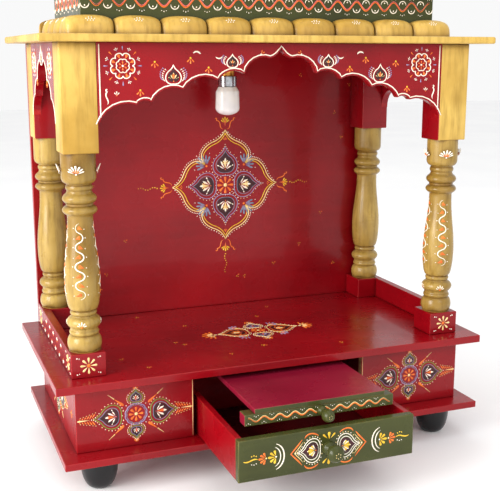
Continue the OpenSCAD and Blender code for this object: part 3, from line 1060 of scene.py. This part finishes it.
def paint_valance_front():
    low, high = mm_box("front_valance")
    canvas = Canvas("valance_painting", front_of("front_valance"))
    top = high.z
    for flip in (False, True):
        side = 1 if flip else -1
        canvas.paint(rosette(), (side * 177, top - 24))
        canvas.paint(heart(16, 20), (side * 123, top - 43), flip=flip)
        canvas.paint(heart(12, 14), (side * 57, top - 26), flip=flip)
        for x, drop_z in ((159, 49), (84, 26), (143, 20), (104, 16)):
            canvas.paint(sprig("orange", "yellow", 1.2), (side * x, top - drop_z), turn=180)
        canvas.paint(line("white", bezier((0, 0), (3, 2.5), (6, 2), (8, -1)), 1.7), (side * 101, top - 11), flip=flip)
        canvas.paint(line("white", bezier((0, 0), (3, -2.5), (6, -2), (8, 1)), 1.4), (side * 76, top - 15), flip=flip)
        canvas.paint(scroll(13, "white", 3.4), (side * 194, top - 63), flip=flip, turn=-90 if flip else 90)
        canvas.paint(sprig("white", "orange", 0.8), (side * 184, top - 54))
        canvas.paint([("white", [(side * 201.4, top - 76), (side * 201.4, top - 40), (side * 201.4, top - 2)], [1.4])])
        canvas.paint(sprig("orange", "white", 0.9), (side * 24, top - 12), turn=side * 60)
    edge_line(canvas, "front_valance")
    canvas.build()


def edge_line(canvas, node, inset=2.6, across="x"):
    """A white line just inside the arch's edge, read from the CAD node's own outline."""
    outline = arch_outline(node, across)
    shifted = []
    for i, (u, v) in enumerate(outline):
        before, after = outline[max(i - 1, 0)], outline[min(i + 1, len(outline) - 1)]
        du, dv = after[0] - before[0], after[1] - before[1]
        length = math.hypot(du, dv) or 1
        shifted.append((u - dv / length * inset, v + du / length * inset))
    canvas.paint([("white", shifted, [1.3])])


def arch_outline(node, across):
    """The lower edge of a valance from its left foot to its right foot."""
    low, high = mm_box(node)
    pairs = set()
    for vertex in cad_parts[node].data.vertices:
        place = vertex.co / MM
        u = place.x if across == "x" else place.y
        if place.z < high.z - 1:
            pairs.add((round(u, 2), round(place.z, 2)))
    return sorted(pairs)


def paint_valance_sides():
    for node, side in (("side_valance_left", -1), ("side_valance_right", 1)):
        low, high = mm_box(node)
        canvas = Canvas(node + "_painting", side_of(node, side))
        middle = (low.y + high.y) / 2
        for sign in (-1, 1):
            canvas.paint(moved(rosette(), 0, 0, 0, 0.86), (middle + sign * 54, high.z - 22))
            canvas.paint(sprig("orange", "yellow", 1.2), (middle + sign * 34, high.z - 42), turn=180)
        canvas.paint(heart(14, 17), (middle, high.z - 24))
        edge_line(canvas, node, 2.6, "y")
        canvas.build()


def paint_base():
    for node in ("base_panel_left", "base_panel_right"):
        low, high = mm_box(node)
        canvas = Canvas(node + "_painting", front_of(node))
        canvas.paint(panel_motif(), ((low.x + high.x) / 2, (low.z + high.z) / 2 - 0.5))
        rim = high.x - 1.4 if node == "base_panel_left" else low.x + 1.4
        canvas.paint(line("cream", [(rim, low.z + 2), (rim, (low.z + high.z) / 2), (rim, high.z - 2)], 1.0))
        canvas.build()
    for node, side in (("base_side_left", -1), ("base_side_right", 1)):
        low, high = mm_box(node)
        canvas = Canvas(node + "_painting", side_of(node, side))
        middle = (low.y + high.y) / 2
        canvas.paint(panel_motif(), (middle, (low.z + high.z) / 2))
        for sign in (-1, 1):
            canvas.paint(sprig("orange", "yellow", 1.4), (middle + sign * 84, low.z + 38), turn=-90 * sign)
        canvas.build()


def paint_back():
    canvas = Canvas("back_painting", front_of("back_panel"))
    centre = (16, 296)
    canvas.paint(mandala(), centre)
    places = random.Random(5)
    for _ in range(26):
        u, v = places.uniform(-215, 215), places.uniform(165, 460)
        if math.hypot(u - centre[0], v - centre[1]) > 128:
            canvas.paint(two_dots(), (u, v), places.uniform(0, 360))
    canvas.build()


def paint_floor():
    low, high = mm_box("upper_board")
    canvas = Canvas("floor_painting", top_of("upper_board"))
    centre = (12, 51)
    canvas.paint(floor_mandala(), centre)
    places = random.Random(8)
    for _ in range(16):
        u, v = places.uniform(-215, 215), places.uniform(-50, 170)
        if abs(u - centre[0]) > 104 or abs(v - centre[1]) > 50:
            canvas.paint(two_dots(), (u, v), places.uniform(0, 360))
    canvas.build()


def paint_blocks():
    low, high = mm_box("plinth_blocks")
    half = (mm_box("side_rail_left")[0].x - low.x) / 2
    middle_z = (low.z + high.z) / 2
    flower = blossom("cream", 8, 2.4, 9.2, 2.6, "orange") + blossom("orange", 8, 2.6, 6.0, 1.0)
    for x in (-12.6, 12.6):
        for z in (-9.2, 9.2):
            flower += dot("white", x, z, 1.7) + dot("white", x * 0.82, z * 0.94, 1.2)
    for side in (-1, 1):
        centre_x = side * (high.x - 19)
        canvas = Canvas(f"block_front_{side + 1}", front_of("plinth_blocks"))
        canvas.paint(flower, (centre_x, middle_z))
        canvas.build()
        canvas = Canvas(f"block_side_{side + 1}", side_of("plinth_blocks", side))
        for y in (low.y + 19, high.y - 19):
            canvas.paint(flower, (y, middle_z))
        canvas.build()
        rail = Canvas(f"rail_{side + 1}", side_of("side_rail_left" if side < 0 else "side_rail_right", side))
        span = mm_box("side_rail_left")
        for i in range(11):
            y = span[0].y + 12 + i * (span[1].y - span[0].y - 24) / 10
            rail.paint(sprig("white", "orange", 1.0), (y, middle_z + (3 if i % 2 else -6)), turn=0 if i % 2 else 180)
        rail.build()
    return half


def paint_pillars():
    for side in ("left", "right"):
        node = f"pillar_front_{side}"
        low, high = mm_box(node)
        x, y = (low.x + high.x) / 2, (low.y + high.y) / 2
        foot = mm_box("plinth_blocks")[1].z
        for index, facing in enumerate((-math.pi * 0.60, math.pi * 0.93, -math.pi * 0.07)):
            surface = Round(x, y, radius_along(node, x, y), facing, 17)
            canvas = Canvas(f"{node}_painting_{index}", surface)
            crown = fan("white", 7, 130, 2.0, 9.5, 1.7) + fan("orange", 4, 80, 1.2, 5.0, 1.7)
            canvas.paint(crown + dot("white", 0, 0, 2.0), (0, foot + 194))
            canvas.paint(fan("white", 5, 130, 1.5, 6.2, 1.5) + dot("orange", 0, 0, 3.0), (0, foot + 29))
            paint_pillar_wave(canvas, foot + 60)
            canvas.build()


def paint_pillar_wave(canvas, start):
    """A looping white line up the vase, an orange leaf in each loop and dots outside."""
    loops, period, reach = 8, 10.2, 4.6
    wave = []
    for i in range(loops * 8 + 1):
        turn = i / 8 * math.pi
        bend = math.copysign(abs(math.sin(turn)) ** 0.6, math.sin(turn))
        wave.append((reach * bend, start + i * period / 8))
    canvas.paint(line("white", wave, 1.35))
    for i in range(loops):
        sign = -1 if i % 2 else 1
        z = start + (i + 0.5) * period
        canvas.paint(drop("orange", (-sign * 4.2, z - 1.4), (sign * 1.2, z + 0.8), 4.0))
        canvas.paint(drop("yellow", (-sign * 2.6, z - 0.6), (sign * 0.6, z + 0.6), 1.4))
        canvas.paint(dot("white", sign * 7.4, z, 1.3) + dot("white", -sign * 6.6, z - 1.0, 1.1))


def paint_drawer():
    low, high = mm_box("drawer_front")
    canvas = Canvas("drawer_painting", front_of("drawer_front"), "drawer")
    middle_z = (low.z + high.z) / 2
    half = []
    bud = lotus(26, 25, "white", "white", "yellow", "orange")
    bud += moved(fan("yellow", 5, 110, 1.5, 8.5, 2.6), 0, 6.5)
    half += moved(bud, 10, 0, turn=-90)
    half += line("orange", [(31, -14), (35, -9), (43.5, 0), (35, 9), (31, 14)], 1.8)
    half += line("cream", [(30, -11), (33, -7), (39.5, 0), (33, 7), (30, 11)], 0.9)
    half += line("white", bezier((60, -14), (48, -10), (48, 10), (60, 14)), 1.5)
    half += line("white", bezier((61, -10.5), (53, -7), (53, 7), (61, 10.5)), 1.1)
    half += moved(fan("yellow", 5, 150, 1.5, 9, 2.8) + dot("white", 0, 0, 2), 60, 0, -90)
    half += moved(fan("orange", 5, 130, 1.5, 8.5, 2.6) + dot("cream", 0, 0, 2), 71, 0, -90)
    tail = bezier((80, 0), (86, 3.5), (90, -3.5), (96, 0), 10)
    half += line("yellow", tail, 1.5) + dotted("yellow", [(82, 4), (84.5, 5), (87, 4.4)], 1.5)
    half += dotted("white", [(82, -4), (84.5, -5), (87, -4.4)], 1.2)
    for sign in (-1, 1):
        curl = bezier((12, sign * 15.5), (18, sign * 21), (26, sign * 20), (28, sign * 15), 12)
        half += line("orange", curl, 1.6)
    canvas.paint(half + mirrored(half), (0, middle_z))
    for sign in (-1, 1):
        leaf = drop("yellow", (0, sign * 10), (0, sign * 18), 3.2) + drop("yellow", (2, sign * 11), (7, sign * 16), 2.2)
        canvas.paint(leaf + drop("yellow", (-2, sign * 11), (-7, sign * 16), 2.2), (0, middle_z))
    canvas.build()
    knob_dots("drawer_knob", "drawer", 7)


def knob_dots(node, body, reach):
    low, high = mm_box(node)
    surface = Face((1, 0, 0), (0, 0, 1), (0, -1, 0), -low.y - 0.6)
    canvas = Canvas(node + "_dots", surface, body)
    flower = blossom("cream", 6, reach * 0.16, reach * 0.46, reach * 0.16, "orange")
    canvas.paint(flower, ((low.x + high.x) / 2, (low.z + high.z) / 2))
    canvas.build()


def paint_tray():
    low, high = mm_box("tray_strip")
    canvas = Canvas("tray_painting", front_of("tray_strip"), "tray")
    middle_z = (low.z + high.z) / 2
    period = (high.x - low.x - 8) / 9.5
    steps = int(9.5 * 12)
    wave = [(low.x + 4 + i * period / 12, middle_z + 2.4 * math.cos(i * TAU / 12)) for i in range(steps + 1)]
    canvas.paint(line("orange", wave, 1.6))
    canvas.paint(line("cream", [(x, z + 1.1) for x, z in wave], 0.7))
    for i in range(19):
        x = low.x + 4 + i * period / 2
        sign = -1 if i % 2 == 0 else 1
        canvas.paint(dot("white", x, middle_z + sign * 3.2, 1.1) + dot("white", x - 2.2, middle_z + sign * 4.3, 0.8))
        canvas.paint(dot("white", x + 2.2, middle_z + sign * 4.3, 0.8))
    canvas.build()
    knob_dots("tray_knob", "tray", 5)


def paint_frieze():
    low, high = mm_box("frieze_front")
    strips = [
        ("frieze_front_painting", front_of("frieze_front"), low.x, high.x),
        ("frieze_rear_painting", rear_of("frieze_rear"), low.x, high.x),
    ]
    ends = mm_box("frieze_ends")
    rear = mm_box("frieze_rear")[1].y
    for side in (-1, 1):
        strips.append((f"frieze_end_{side + 1}_painting", side_of("frieze_ends", side), low.y, rear))
    middle_z = (mm_box("petals_front_row")[1].z + high.z) / 2
    for name, surface, start, end in strips:
        canvas = Canvas(name, surface)
        count = max(4, round((end - start - 10) / 24))
        period = (end - start - 10) / count
        wave = [
            (start + 5 + i * period / 12, middle_z + 5.0 * math.cos(i * TAU / 12)) for i in range(count * 12 + 1)
        ]
        canvas.paint(line("orange", wave, 1.6) + line("pink", [(u, v + 1.5) for u, v in wave], 0.9))
        for i in range(count * 2 + 1):
            u = start + 5 + i * period / 2
            sign = -1 if i % 2 == 0 else 1
            arch = bezier((-4.6, 0), (-4.2, sign * 6.4), (4.2, sign * 6.4), (0 + 4.6, 0), 10)
            canvas.paint(line("white", arch, 1.2), (u, middle_z + sign * 2.2))
            canvas.paint(dot("white", u, middle_z + sign * 4.4, 1.7) + dot("white", u, middle_z - sign * 9.5, 1.3))
            canvas.paint(dot("white", u - 2.6, middle_z - sign * 8.6, 1.0) + dot("white", u + 2.6, middle_z - sign * 8.6, 1.0))
        canvas.build()


def nail_back():
    """Nail heads that hold the back panel and the base's rear wall."""
    for node, rows, columns in (("back_panel", 5, 6), ("base_back", 1, 6)):
        low, high = mm_box(node)
        canvas = Canvas(node + "_nails", rear_of(node))
        inset = 12
        for i in range(columns + 1):
            u = low.x + inset + i * (high.x - low.x - 2 * inset) / columns
            canvas.paint(dot("nail", u, low.z + inset, 4.2) + dot("nail", u, high.z - inset, 4.2))
        for j in range(1, rows):
            v = low.z + inset + j * (high.z - low.z - 2 * inset) / rows
            canvas.paint(dot("nail", low.x + inset, v, 4.2) + dot("nail", high.x - inset, v, 4.2))
        canvas.build()


def paint_roof():
    low, high = mm_box("dome")
    x, y = (low.x + high.x) / 2, (low.y + high.y) / 2
    radius = radius_along("dome", x, y)
    for i in range(8):
        surface = Round(x, y, radius, TAU * i / 8, 56)
        canvas = Canvas(f"dome_painting_{i}", surface)
        bud = lotus(34, 24, "cream", "orange", "cream", "pink") + moved(comb(5, 8), 0, 36)
        canvas.paint(bud, (0, low.z + 16))
        canvas.build()


make_camera()
make_studio()
make_floor()
make_boards()
make_drawer_and_tray()
make_pillars()
make_turned()
make_petals()
paint_valance_front()
paint_valance_sides()
paint_base()
paint_back()
paint_floor()
paint_blocks()
paint_pillars()
paint_drawer()
paint_tray()
paint_frieze()
nail_back()
paint_roof()
